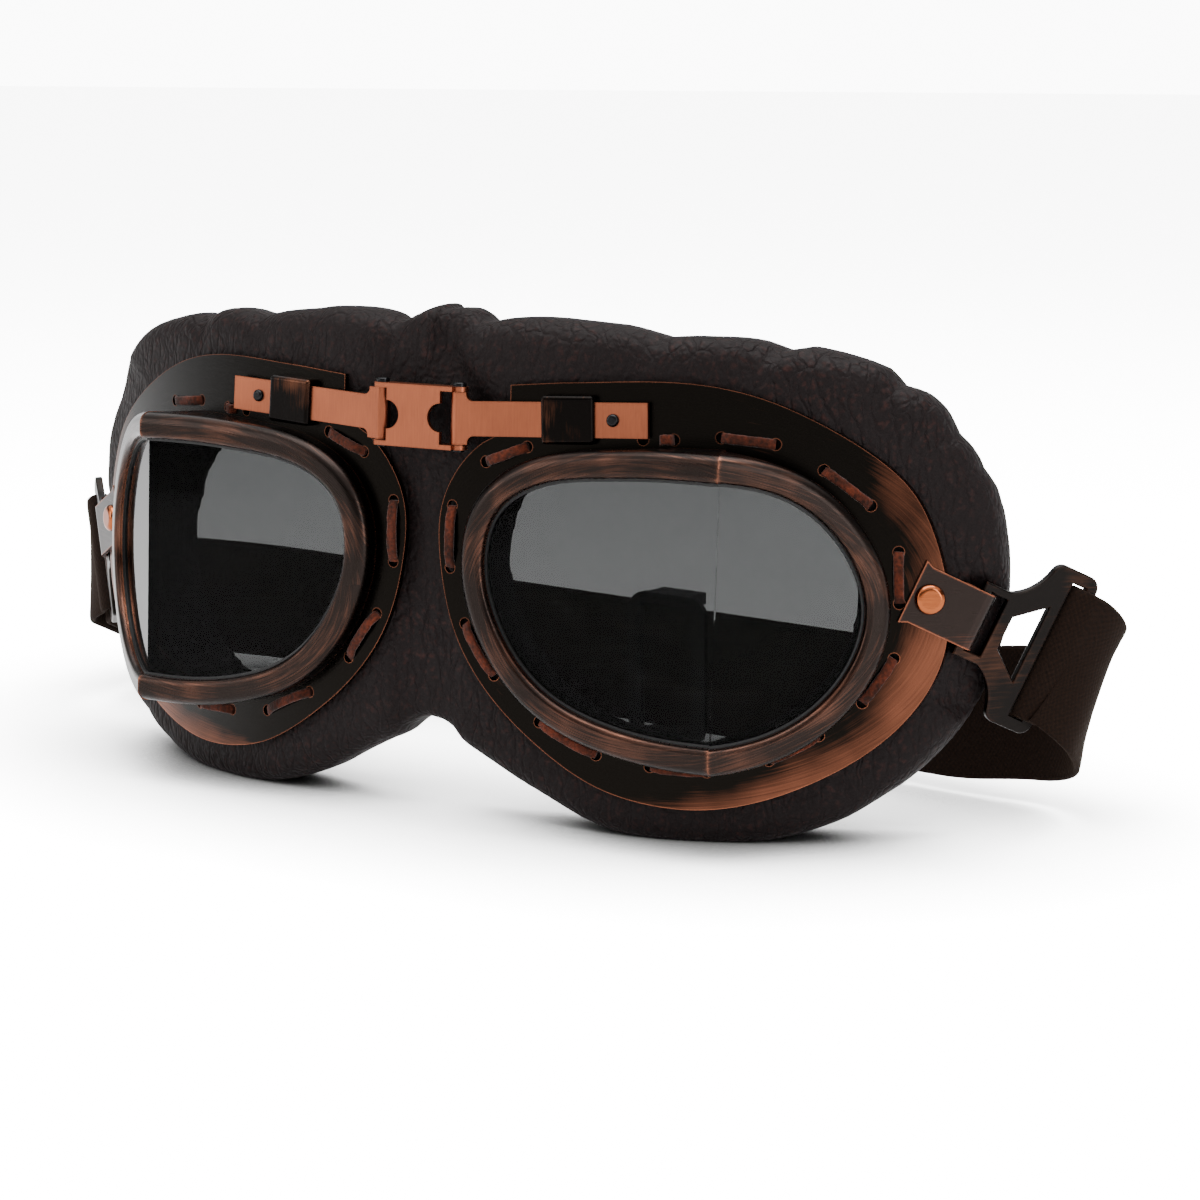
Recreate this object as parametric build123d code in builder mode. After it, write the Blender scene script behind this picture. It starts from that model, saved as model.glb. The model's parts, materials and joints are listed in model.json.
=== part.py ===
# Aviator flying goggles: two curved copper frames with two-pane lenses, laced to padded
# eye cushions, hinged to a bridge link and held by an elastic head strap.
# Millimetres, +Z up, front towards -Y, floor under the goggles at z = 0.
from build123d import *
from math import asin, atan2, copysign, cos, degrees, radians, sin
import os

os.makedirs("parts", exist_ok=True)

# Stance: the goggles lean back a little on their cushions, the strap stands behind them.
lean = 3.6
reach = 46.85
overrun = 30.0
skin = 0.02

# Bridge link, pins and arms.
link_width = 11.8
link_height = 11.8
link_notch = 2.7
link_sheet = 0.9
flange_depth = 4.4
pin_x = 8.5
pin_depth = 2.7
pin_r = 0.8
pin_fit = 0.06
pin_head_r = 1.3
pin_head = 0.8
barrel_r = 1.55
arm_back = 8.7
arm_rise = 2.4
arm_sheet = 1.0
arm_height = 6.5
arm_length = 38.0
tee_width = 2.4
tee_fillet = 1.3
hinge_gap = 0.1

# Keeper that the arm slides in, and the stud that stops it.
keeper_start = 17.4
keeper_length = 10.4
keeper_height = 9.0
keeper_sheet = 0.9
keeper_bevel = 0.8
slide_fit = 0.12
stud_along = 31.3
stud_r = 1.2
stud_shank = 0.7
stud_dome = 0.75
stud_round_share = 0.8

# Lens openings. The front pane is flat across, the side pane turns back at the seam.
seam_x = 64.0
side_turn = 42.0
eye_top = -8.3
eye_height = 47.7
eye_nose = 15.4
side_reach = 28.9
eye_steps = 32
lens_thick = 2.0
lens_fit = 0.1
lens_lap = 2.4
lip = 1.6
gasket_thick = 0.5
gasket_show = 0.55
retainer_thick = 0.8
rim_width = 5.1
rim_round = 2.2
rim_inner_round = 1.1

# Frame plate: sheet bent round an upright cylinder.
plate_inner = 3.6
plate_width = 92.6
plate_top = 8.4
plate_height = 78.4
plate_bow = 160.0
plate_centre = 7.0
plate_set = 4.2
plate_wall = 1.2
plate_edge = 0.4

# Lacing.
lace_width = 1.8
lace_thick = 0.9
lace_hole = 1.05
lace_leg = 0.85

# Strap tab, rivet and ring.
rivet_x = 93.2
rivet_z = -29.0
rivet_r = 2.85
rivet_shank = 1.3
rivet_dome = 1.3
rivet_round_share = 0.9
rivet_flange = 0.5
rivet_flange_r = 2.2
tab_dip = 23.5
tab_sheet = 0.9
tab_width = 11.0
tab_flare = 0.7
tab_flare_length = 1.6
tab_inner = 3.5
tab_outer = 9.2
tab_hem = 3.8
fold_r = 1.3
ring_turn = 16.0
ring_back = 8.0
ring_sheet = 1.6
ring_neck = 14.6
ring_height = 32.0
ring_bar = 1.8
ring_slot = 3.7
ring_band = 2.4
ring_hole_start = 7.2
ring_hole_length = 6.0
ring_hole_short = 6.4
ring_hole_long = 15.2
ring_grip = 2.4
strap_slot = 3.0
ring_corner = 2.4
ring_waist_share = 0.3
ring_shoulder_share = 0.63
ring_round = 0.35

# Strap and slider. The strap's back run is straight, slanted a little behind the goggles.
strap_width = 26.5
strap_thick = 1.4
strap_fit = 0.5
strap_gap = 0.3
strap_middle = 80.0
strap_slant = 9.0
strap_run_right = 80.0
strap_run_left = 84.0
strap_leg = 3.0
bend_pull = 0.38
bend_steps = 5
# Free bends of the strap beside the goggles, near the ring and far from it: across, behind the
# front and above the floor, then heading, dip and tilt in degrees.
right_near_bend = (115.8, 54.0, 26.5, 105, 30, 4)
right_far_bend = (99.0, 65.4, 18.0, 172, 6, 1)
left_near_bend = (117.7, 54.5, 29.5, 84, 22, 6)
left_far_bend = (114.0, 86.0, 18.0, 130, 8, 2)
slider_x = 15.0
slider_length = 20.0
slider_height = 32.0
slider_bar = 3.4
slider_sheet = 1.4
slider_corner = 4.5
slider_rod_r = 0.9
slider_hem = 12.0

# Face cushions and the padded bridge between them.
pad_inner = 7.2
pad_width = 96.3
pad_top = 18.5
pad_height = 97.0
pad_gap = 0.3
pad_depth = 14.0
pad_face_bow = 180.0
pad_crown = 5.0
pad_hollow = 4.0
pad_dent = 1.5
nose_top = 20.5
nose_bottom = -62.0
nose_arch = 3.5
nose_peak = 1.5
nose_set = 6.8
nose_crown = 3.5

# Height of the bridge above the floor: the cushions stand on it, pressed flat a little.
pad_press = 1.0
stand = pad_height - pad_top - pad_press

up = Vector(0, sin(radians(lean)), cos(radians(lean)))
front = Plane(origin=(0, -reach, stand), x_dir=(1, 0, 0), z_dir=Vector(1, 0, 0).cross(up))
level = Plane(origin=front.origin, x_dir=(1, 0, 0), z_dir=up)
floor = Plane.XY


def facing(x, depth, height, heading=0.0):
    """Plane that faces forward at a point of the goggles, its X turned back by heading."""
    along = level.x_dir * cos(radians(heading)) + level.y_dir * sin(radians(heading))
    return Plane(front.from_local_coords(Vector(x, height, -depth)), x_dir=along, z_dir=along.cross(up))


def turned(plane, about_y=0.0, about_z=0.0):
    """Plane turned about its own axes, in degrees."""
    return Plane(plane.location * Rotation(0, about_y, about_z))


def plate_depth(x):
    """Depth of the frame plate's front face behind the bridge at a distance from the middle."""
    return plate_set + plate_bow - (plate_bow**2 - (x - plate_centre) ** 2) ** 0.5


def plate_heading(x):
    return degrees(asin((x - plate_centre) / plate_bow))


def spread(shares, x, width, y, height):
    """Points of an outline, given as shares of a width and a height."""
    return [(x + width * across, y + height * rise) for across, rise in shares]


# Lens openings: the front pane's outline in front view, the side pane's drawn on the pane
# from the seam outwards.
eye_bottom = eye_top - eye_height
eye_width = seam_x - eye_nose
front_eye_shares = ((1.3, 0), (1, 0), (0.74, 0), (0.5, -0.015), (0.22, -0.065), (0.055, -0.18),
                    (0, -0.37), (0.065, -0.62), (0.26, -0.85), (0.54, -0.965), (0.8, -1), (1, -1),
                    (1.3, -1))
side_eye_shares = ((-1, -1), (-0.5, -1), (0.08, -1), (0.44, -0.945), (0.8, -0.79), (1, -0.48), (0.84, -0.235),
                   (0.45, -0.05), (0.08, 0), (-0.5, 0), (-1, 0))
nose_side = Spline(spread(front_eye_shares, eye_nose, eye_width, eye_top, eye_height))
temple_side = Spline(spread(side_eye_shares, 0, side_reach, eye_top, eye_height))


def opening(eye, past, grow):
    """Lens outline moved out by grow and closed past the seam."""
    shares = [step / eye_steps for step in range(eye_steps + 1)]
    with BuildSketch() as grown:
        with BuildLine():
            edge = Spline([eye @ share + (eye % share).rotate(Axis.Z, -90) * grow for share in shares])
            end = past + copysign(grow, past)
            Polyline(edge @ 1, (end, (edge @ 1).Y), (end, (edge @ 0).Y), edge @ 0)
        make_face()
    return grown.sketch


side_pane = facing(seam_x, 0, 0, side_turn)
mitre = facing(seam_x, 0, 0, side_turn / 2)
mitre = Plane(mitre.origin, x_dir=up, z_dir=mitre.x_dir)
panes = ((front, (nose_side, seam_x + overrun), Keep.BOTTOM),
         (side_pane, (temple_side, -overrun), Keep.TOP))


def around_lens(grow, hole, start, depth, outer_round=0, inner_round=0):
    """Both panes' outlines, grown and mitred at the seam: a ring, or a slug if hole is None."""
    halves = []
    for pane, eye, kept in panes:
        with BuildPart() as half:
            with BuildSketch(pane.offset(-start)):
                add(opening(*eye, grow))
                if hole is not None:
                    add(opening(*eye, hole), mode=Mode.SUBTRACT)
            extrude(amount=-depth)
            if outer_round:
                forward = Axis(pane.origin, pane.z_dir)
                fillet(half.faces().sort_by(forward)[-1].outer_wire().edges(), radius=outer_round)
                fillet(half.faces().sort_by(forward)[-1].inner_wires()[0].edges(), radius=inner_round)
            split(bisect_by=mitre, keep=kept)
        halves.append(half.part)
    with BuildPart() as whole:
        add(halves[0])
        add(halves[1])
    return whole.part


def pane_slug(pane, eye, kept):
    """One lens pane, cut just short of the seam."""
    with BuildPart() as glass:
        with BuildSketch(pane.offset(-lip - gasket_thick)):
            add(opening(*eye, lens_lap - lens_fit))
        extrude(amount=-lens_thick)
        split(bisect_by=mitre.offset(-skin if kept == Keep.BOTTOM else skin), keep=kept)
    return glass.part


housing_depth = plate_depth(seam_x + side_reach) + plate_wall
lens_hole = around_lens(lens_lap, None, lip, housing_depth)

# Solid that fills all that lies behind the plate's front face, and the same for its back.
plate_axis = (plate_centre, plate_set + plate_bow)
with BuildPart() as behind_plate:
    with BuildSketch(level.offset(-stand)):
        with Locations(plate_axis):
            Circle(plate_bow)
    extrude(amount=2 * stand)
with BuildPart() as behind_wall:
    with BuildSketch(level.offset(-stand)):
        with Locations(plate_axis):
            Circle(plate_bow - plate_wall)
    extrude(amount=2 * stand)

# Rim: drawn bezel with a rounded front, its wall standing on the frame plate.
with BuildPart() as right_rim:
    add(around_lens(rim_width, 0, 0, housing_depth, rim_round, rim_inner_round))
    add(lens_hole, mode=Mode.SUBTRACT)
    add(behind_plate.part, mode=Mode.SUBTRACT)

with BuildPart() as right_lens_gasket:
    add(around_lens(lens_lap - lens_fit, -gasket_show, lip, gasket_thick))

with BuildPart() as right_front_lens:
    add(pane_slug(*panes[0]))

with BuildPart() as right_side_lens:
    add(pane_slug(*panes[1]))

# Retainer: thin inner frame that holds both panes against the gasket.
with BuildPart() as right_lens_retainer:
    add(around_lens(lens_lap - lens_fit, gasket_show, lip + gasket_thick + lens_thick, retainer_thick))

# Bridge link: pressed face with a half-round notch in each side, flanges bent back over the pins.
with BuildPart() as bridge_link:
    with BuildSketch(front):
        Rectangle(link_width, link_height)
        fillet(vertices(), radius=link_sheet / 3)
        with Locations((link_width / 2, 0), (-link_width / 2, 0)):
            Circle(link_notch, mode=Mode.SUBTRACT)
    extrude(amount=-link_sheet)
    for end in (-link_height / 2, link_height / 2 - link_sheet):
        with BuildSketch(level.offset(end)):
            with Locations((0, flange_depth / 2)):
                Rectangle(2 * pin_x, flange_depth)
            with Locations((pin_x, pin_depth), (-pin_x, pin_depth)):
                Circle(flange_depth - pin_depth)
            with Locations((pin_x, pin_depth), (-pin_x, pin_depth)):
                Circle(pin_r + skin, mode=Mode.SUBTRACT)
        extrude(amount=link_sheet)

# Hinge pin with a domed head above and a small spread end below.
with BuildPart() as right_hinge_pin:
    with BuildSketch(level.offset(-link_height / 2 - pin_head / 2)):
        with Locations((pin_x, pin_depth)):
            Circle(pin_r)
    extrude(amount=link_height + pin_head)
    with BuildSketch(level.offset(link_height / 2)):
        with Locations((pin_x, pin_depth)):
            Circle(pin_head_r)
    extrude(amount=pin_head)
    fillet(right_hinge_pin.faces().sort_by(Axis(level.origin, up))[-1].edges(), radius=pin_head / 2)
    with BuildSketch(level.offset(-link_height / 2 - pin_head / 2)):
        with Locations((pin_x, pin_depth)):
            Circle((pin_r + pin_head_r) / 2)
    extrude(amount=pin_head / 2)

# Arm: flat bar swept back from its pin, with a tee at the pin end rolled into a barrel.
arm_face = facing(pin_x, pin_depth - barrel_r, 0, arm_back)
arm_plane = turned(arm_face, about_z=arm_rise)
barrel_height = link_height - 2 * (link_sheet + hinge_gap)
with BuildPart() as right_bridge_arm:
    with BuildSketch(arm_plane):
        with Locations((arm_length / 2, 0)):
            Rectangle(arm_length, arm_height)
        with Locations((tee_width / 2, 0)):
            Rectangle(tee_width, barrel_height - hinge_gap)
        necks = [v for v in vertices() if abs(v.X - tee_width) < skin and abs(v.Y) < arm_height / 2 + skin]
        fillet(necks, radius=tee_fillet)
        with Locations((stud_along, 0)):
            Circle(stud_shank + skin, mode=Mode.SUBTRACT)
    extrude(amount=-arm_sheet)
    with BuildSketch(level.offset(-barrel_height / 2)):
        with Locations((pin_x, pin_depth)):
            Circle(barrel_r)
    extrude(amount=barrel_height)
    with BuildSketch(level.offset(-barrel_height)):
        with Locations((pin_x, pin_depth)):
            Circle(pin_r + pin_fit)
    extrude(amount=2 * barrel_height, mode=Mode.SUBTRACT)

# Stop stud: black domed rivet in the arm's outer end.
with BuildPart() as right_stop_stud:
    with BuildSketch(arm_plane.offset(-arm_sheet)):
        with Locations((stud_along, 0)):
            Circle(stud_shank)
    extrude(amount=arm_sheet)
    with BuildSketch(arm_plane):
        with Locations((stud_along, 0)):
            Circle(stud_r)
    extrude(amount=stud_dome)
    dome = right_stop_stud.faces().sort_by(Axis(arm_plane.origin, arm_plane.z_dir))[-1]
    fillet(dome.edges(), radius=stud_dome * stud_round_share)

# Keeper: bevelled box on the plate, open at both ends for the arm.
keeper_plane = arm_plane.offset(keeper_sheet + slide_fit)
keeper_middle = keeper_start + keeper_length / 2
with BuildPart() as right_arm_keeper:
    with BuildSketch(keeper_plane):
        with Locations((keeper_middle, 0)):
            Rectangle(keeper_length, keeper_height)
        fillet(vertices(), radius=keeper_bevel)
    extrude(amount=-keeper_height)
    lid = right_arm_keeper.faces().sort_by(Axis(keeper_plane.origin, keeper_plane.z_dir))[-1]
    fillet(lid.edges(), radius=keeper_bevel)
    with BuildSketch(arm_plane.offset(slide_fit)):
        with Locations((keeper_middle, 0)):
            Rectangle(2 * keeper_length, arm_height + 2 * slide_fit)
    extrude(amount=-keeper_height - keeper_length, mode=Mode.SUBTRACT)
    add(behind_plate.part, mode=Mode.SUBTRACT)

# Frame plate with its square tab at the nose, lens hole and lacing holes.
plate_shares = ((0.27, -0.01), (0.4, 0), (0.55, 0), (0.66, -0.025), (0.77, -0.08), (0.86, -0.146),
                (0.93, -0.226), (0.975, -0.34), (1, -0.48), (0.995, -0.62), (0.95, -0.745),
                (0.88, -0.84), (0.79, -0.915), (0.69, -0.97), (0.58, -1), (0.46, -0.995),
                (0.37, -0.968), (0.25, -0.89), (0.135, -0.778), (0.05, -0.64), (0.005, -0.45),
                (0.005, -0.33), (0.04, -0.235), (0.1, -0.163))
plate_tab_shares = ((0.16, -0.125), (0.16, -0.022))
lace_shares = (((0.108, -0.208), (0.2, -0.166)), ((0.032, -0.32), (0.03, -0.47)),
               ((0.068, -0.602), (0.138, -0.72)), ((0.242, -0.822), (0.364, -0.888)),
               ((0.474, -0.905), (0.585, -0.908)), ((0.7, -0.872), (0.788, -0.808)),
               ((0.862, -0.726), (0.913, -0.62)), ((0.918, -0.49), (0.913, -0.37)),
               ((0.862, -0.264), (0.778, -0.186)), ((0.69, -0.13), (0.59, -0.12)),
               ((0.5, -0.13), (0.44, -0.133)))
plate_points = spread(plate_shares, plate_inner, plate_width, plate_top, plate_height)
plate_tab = spread(plate_tab_shares, plate_inner, plate_width, plate_top, plate_height)
stitches = [spread(pair, plate_inner, plate_width, plate_top, plate_height) for pair in lace_shares]
rivet_seat = facing(rivet_x, plate_depth(rivet_x), rivet_z, plate_heading(rivet_x))
rivet_plane = turned(rivet_seat, about_z=-tab_dip)
with BuildPart() as right_frame_plate:
    with BuildSketch(front.offset(overrun)):
        with BuildLine():
            sweep_round = Spline(plate_points)
            Polyline(sweep_round @ 1, plate_tab[0], plate_tab[1], sweep_round @ 0)
        make_face()
    extrude(amount=-overrun - 2 * housing_depth)
    add(behind_plate.part, mode=Mode.INTERSECT)
    add(behind_wall.part, mode=Mode.SUBTRACT)
    add(lens_hole, mode=Mode.SUBTRACT)
    for pair in stitches:
        for x, z in pair:
            with BuildSketch(facing(x, plate_depth(x), z, plate_heading(x)).offset(plate_wall)):
                Circle(lace_hole)
            extrude(amount=-3 * plate_wall, mode=Mode.SUBTRACT)
    with BuildSketch(rivet_plane.offset(plate_wall)):
        Circle(rivet_shank + skin)
    extrude(amount=-3 * plate_wall, mode=Mode.SUBTRACT)

# Lacing: short thong stitches that lie on the plate and dive through its holes.
with BuildPart() as right_lacing:
    for (x0, z0), (x1, z1) in stitches:
        middle = (x0 + x1) / 2
        bed = facing(middle, plate_depth(middle), (z0 + z1) / 2, plate_heading(middle))
        start = bed.to_local_coords(facing(x0, plate_depth(x0), z0).origin)
        end = bed.to_local_coords(facing(x1, plate_depth(x1), z1).origin)
        run = end - start
        along = turned(bed, about_z=degrees(atan2(run.Y, run.X))).offset(skin)
        with BuildSketch(along):
            SlotCenterToCenter((run.X**2 + run.Y**2) ** 0.5, lace_width)
        thong = extrude(amount=lace_thick)
        fillet(thong.faces().sort_by(Axis(along.origin, along.z_dir))[-1].edges(), radius=lace_thick / 2)
        for x, z in ((x0, z0), (x1, z1)):
            with BuildSketch(facing(x, plate_depth(x), z, plate_heading(x)).offset(lace_thick / 2)):
                Circle(lace_leg)
            extrude(amount=-lace_thick / 2 - plate_wall - pad_gap / 2)

# Strap tab: copper plate riveted on the frame, its outer end folded back round the ring's bar.
tab_side = Plane(rivet_plane.origin, x_dir=rivet_plane.x_dir, z_dir=-rivet_plane.y_dir)
with BuildPart() as right_strap_tab:
    with BuildSketch(rivet_plane):
        with BuildLine():
            half = Polyline((tab_outer, 0), (tab_outer, tab_width / 2),
                            (tab_flare_length - tab_inner, tab_width / 2),
                            (-tab_inner, tab_width / 2 + tab_flare), (-tab_inner, 0))
            mirror(half, about=Plane.XZ)
        make_face()
        Circle(rivet_shank + skin, mode=Mode.SUBTRACT)
    extrude(amount=tab_sheet)
    with BuildSketch(tab_side):
        with Locations((tab_outer, -fold_r)):
            Circle(fold_r + tab_sheet)
            Circle(fold_r, mode=Mode.SUBTRACT)
        with Locations((tab_outer, -fold_r)):
            Rectangle(tab_outer, 2 * tab_outer, align=(Align.MAX, Align.CENTER), mode=Mode.SUBTRACT)
        with Locations((tab_outer, -2 * fold_r)):
            Rectangle(tab_hem, tab_sheet, align=(Align.MAX, Align.MAX))
    extrude(amount=tab_width / 2, both=True)

# Tab rivet: bright dome in front, shank through tab and plate, spread flange behind.
with BuildPart() as right_tab_rivet:
    with BuildSketch(rivet_plane.offset(tab_sheet)):
        Circle(rivet_r)
    extrude(amount=rivet_dome)
    dome = right_tab_rivet.faces().sort_by(Axis(rivet_plane.origin, rivet_plane.z_dir))[-1]
    fillet(dome.edges(), radius=rivet_dome * rivet_round_share)
    with BuildSketch(rivet_plane.offset(tab_sheet)):
        Circle(rivet_shank)
    extrude(amount=-tab_sheet - plate_wall - rivet_flange)
    with BuildSketch(rivet_plane.offset(-plate_wall - pad_gap / 10)):
        Circle(rivet_flange_r)
    extrude(amount=-rivet_flange)

# Ring: flat stamping that swings on the tab's fold, with slots for the tab and the strap.
fold_centre = rivet_plane.from_local_coords(Vector(tab_outer, 0, -fold_r))
fold_plane = Plane(fold_centre, x_dir=rivet_plane.x_dir, z_dir=rivet_plane.z_dir)
ring_plane = turned(fold_plane, about_y=ring_turn)
neck_end = ring_bar / 2 + ring_slot
hole_end = ring_hole_start + ring_hole_length
slot_start = hole_end + ring_band
grip_start = slot_start + strap_slot
ring_end = grip_start + ring_grip
with BuildPart() as right_strap_ring:
    with BuildSketch(ring_plane.offset(ring_sheet / 2)):
        with BuildLine():
            shoulder = (ring_hole_start + ring_hole_length * ring_shoulder_share, ring_height / 2)
            waist = (ring_hole_start + ring_hole_length * ring_waist_share, ring_height / 3)
            neck = ThreePointArc((neck_end, ring_neck / 2), waist, shoulder)
            edge = Polyline((-ring_bar / 2, 0), (-ring_bar / 2, ring_neck / 2), neck @ 0)
            side = Polyline(shoulder, (ring_end, ring_height / 2), (ring_end, 0))
            mirror([neck, edge, side], about=Plane.XZ)
        make_face()
        corners = [v for v in vertices() if v.X > neck_end - skin]
        fillet(corners, radius=ring_corner)
        with Locations(((ring_bar + ring_slot) / 2, 0)):
            Rectangle(ring_slot, tab_width + strap_fit, mode=Mode.SUBTRACT)
        with Locations((slot_start + strap_slot / 2, 0)):
            Rectangle(strap_slot, strap_width + strap_fit, mode=Mode.SUBTRACT)
        with BuildLine():
            Polyline((ring_hole_start, ring_hole_short / 2), (hole_end, ring_hole_long / 2),
                     (hole_end, -ring_hole_long / 2), (ring_hole_start, -ring_hole_short / 2), close=True)
        make_face(mode=Mode.SUBTRACT)
    extrude(amount=-ring_sheet)
    rims = right_strap_ring.faces().filter_by(Axis(ring_plane.origin, ring_plane.z_dir))
    fillet(rims.edges(), radius=ring_round)

# Strap: one ribbon. From its sewn end it turns round the right ring's bar, runs behind the
# goggles, turns round the left ring's bar and comes back outside itself to the slider's rod.
grip_middle = grip_start + ring_grip / 2
turn_r = ring_grip / 2 + strap_gap
leg_offset = turn_r + strap_thick / 2
strap_height = slider_height / 2
rod_offset = slider_rod_r + strap_gap + strap_thick / 2
ply = strap_thick + strap_gap
slant = Vector(cos(radians(strap_slant)), -sin(radians(strap_slant)), 0)


def strap_place(x, depth, z, heading, dip=0.0, tilt=0.0, out=0.0):
    """Cross-section plane of the strap: X up its width, Y outwards, Z along it."""
    flat = Vector(cos(radians(heading)), sin(radians(heading)), 0)
    along = flat * cos(radians(dip)) - Vector(0, 0, sin(radians(dip)))
    outward = Vector(flat.Y, -flat.X, 0)
    across = Vector(0, 0, cos(radians(tilt))) + outward * sin(radians(tilt))
    place = Plane((x, depth - reach, z), x_dir=across, z_dir=along)
    return Plane(place.origin + place.y_dir * out, x_dir=place.x_dir, z_dir=place.z_dir)


def at_ring(along, out):
    """The same, beside the right ring's outer bar."""
    origin = ring_plane.from_local_coords(Vector(along, 0, out))
    return Plane(origin, x_dir=ring_plane.y_dir, z_dir=ring_plane.x_dir)


def smooth(keys):
    """Cross-sections at even steps on the smooth path through the key ones."""
    places = []
    for one, other in zip(keys, keys[1:]):
        pull = (other.origin - one.origin).length * bend_pull
        curve = Bezier(one.origin, one.origin + one.z_dir * pull,
                       other.origin - other.z_dir * pull, other.origin)
        for step in range(bend_steps):
            share = step / bend_steps
            across = one.x_dir * (1 - share) + other.x_dir * share
            places.append(Plane(curve @ share, x_dir=across, z_dir=curve % share))
    return places + [keys[-1]]


def ribbon(places, first, last):
    """Strap through cross-sections, moved outwards by an amount that runs from first to last."""
    with BuildPart() as run:
        for step, place in enumerate(places):
            out = first + (last - first) * step / (len(places) - 1)
            with BuildSketch(Plane(place.origin + place.y_dir * out, x_dir=place.x_dir, z_dir=place.z_dir)):
                Rectangle(strap_width, strap_thick)
        loft(ruled=True)
    return run.part


def back_depth(x):
    """Where the back run lies, at a distance to the right of the middle."""
    return strap_middle + x * slant.Y / slant.X


def back_run(right, left, out):
    with BuildPart() as run:
        with BuildSketch(strap_place(right, back_depth(right), strap_height, 180 - strap_slant, out=out)):
            Rectangle(strap_width, strap_thick)
        extrude(amount=(right - left) / slant.X)
    return run.part


def u_turn(plane_x, plane_y, centre, inner):
    """Half-round fold of the strap, open towards plane_x."""
    with BuildPart() as fold:
        with BuildSketch(Plane(centre, x_dir=plane_x, z_dir=plane_x.cross(plane_y))):
            Circle(inner + strap_thick)
            Circle(inner, mode=Mode.SUBTRACT)
            Rectangle(2 * strap_width, 2 * strap_width, align=(Align.MIN, Align.CENTER), mode=Mode.SUBTRACT)
        extrude(amount=strap_width / 2, both=True)
    return fold.part


at_bar = [at_ring(grip_middle, 0), at_ring(grip_middle + strap_leg, 0)]
right_end = strap_place(strap_run_right, back_depth(strap_run_right), strap_height, 180 - strap_slant)
left_end = strap_place(strap_run_left, back_depth(-strap_run_left), strap_height, 180 + strap_slant)
right_bends = [strap_place(*right_near_bend), strap_place(*right_far_bend)]
left_bends = [strap_place(*left_near_bend), strap_place(*left_far_bend)]
right_path = smooth(at_bar + right_bends + [right_end])
left_path = smooth(at_bar + left_bends + [left_end])
ring_fold = u_turn(ring_plane.x_dir, ring_plane.z_dir, at_bar[0].origin, turn_r)
left_inner = ribbon(left_path, -leg_offset, 0)
left_outer = ribbon(left_path, leg_offset, ply)
run_dir = -slant
run_out = Vector(run_dir.Y, -run_dir.X, 0)
rod = Vector(slider_x, back_depth(slider_x) - reach, strap_height) + run_out * (ply + rod_offset)
with BuildPart() as head_strap:
    add(ring_fold)
    add(ribbon(right_path, leg_offset, 0))
    add(ribbon(at_bar, -leg_offset, -leg_offset))
    add(back_run(strap_run_right, -strap_run_left, 0))
    for piece in (ring_fold, left_inner, left_outer):
        add(piece.mirror(Plane.YZ))
    add(back_run(slider_x, -strap_run_left, ply))
    add(u_turn(run_dir, run_out, rod, rod_offset - strap_thick / 2))
    add(back_run(slider_x, slider_x - slider_hem, ply + 2 * rod_offset))

# Slider: moulded frame on the strap, with a rod behind that the strap's free end is sewn round.
slider_plane = Plane((slider_x, back_depth(slider_x) - reach, slider_height / 2), x_dir=slant, z_dir=-run_out)
slider_front = strap_thick / 2 + strap_gap
slider_rail = (slider_height - strap_width) / 2 - strap_gap
with BuildPart() as strap_slider:
    with BuildSketch(slider_plane.offset(slider_front)):
        RectangleRounded(slider_length, slider_height, slider_corner)
        Rectangle(slider_length - 2 * slider_bar, slider_height - 2 * slider_rail, mode=Mode.SUBTRACT)
    extrude(amount=slider_sheet)
    rail_depth = slider_front + ply + rod_offset + slider_rod_r
    with BuildSketch(slider_plane.offset(slider_front)):
        with GridLocations(0, slider_height - slider_rail, 1, 2):
            Rectangle(slider_length - 2 * slider_corner, slider_rail)
    extrude(amount=-rail_depth)
    with BuildSketch(Plane(rod - Vector(0, 0, strap_height), z_dir=(0, 0, 1))):
        Circle(slider_rod_r)
    extrude(amount=slider_height)

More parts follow.
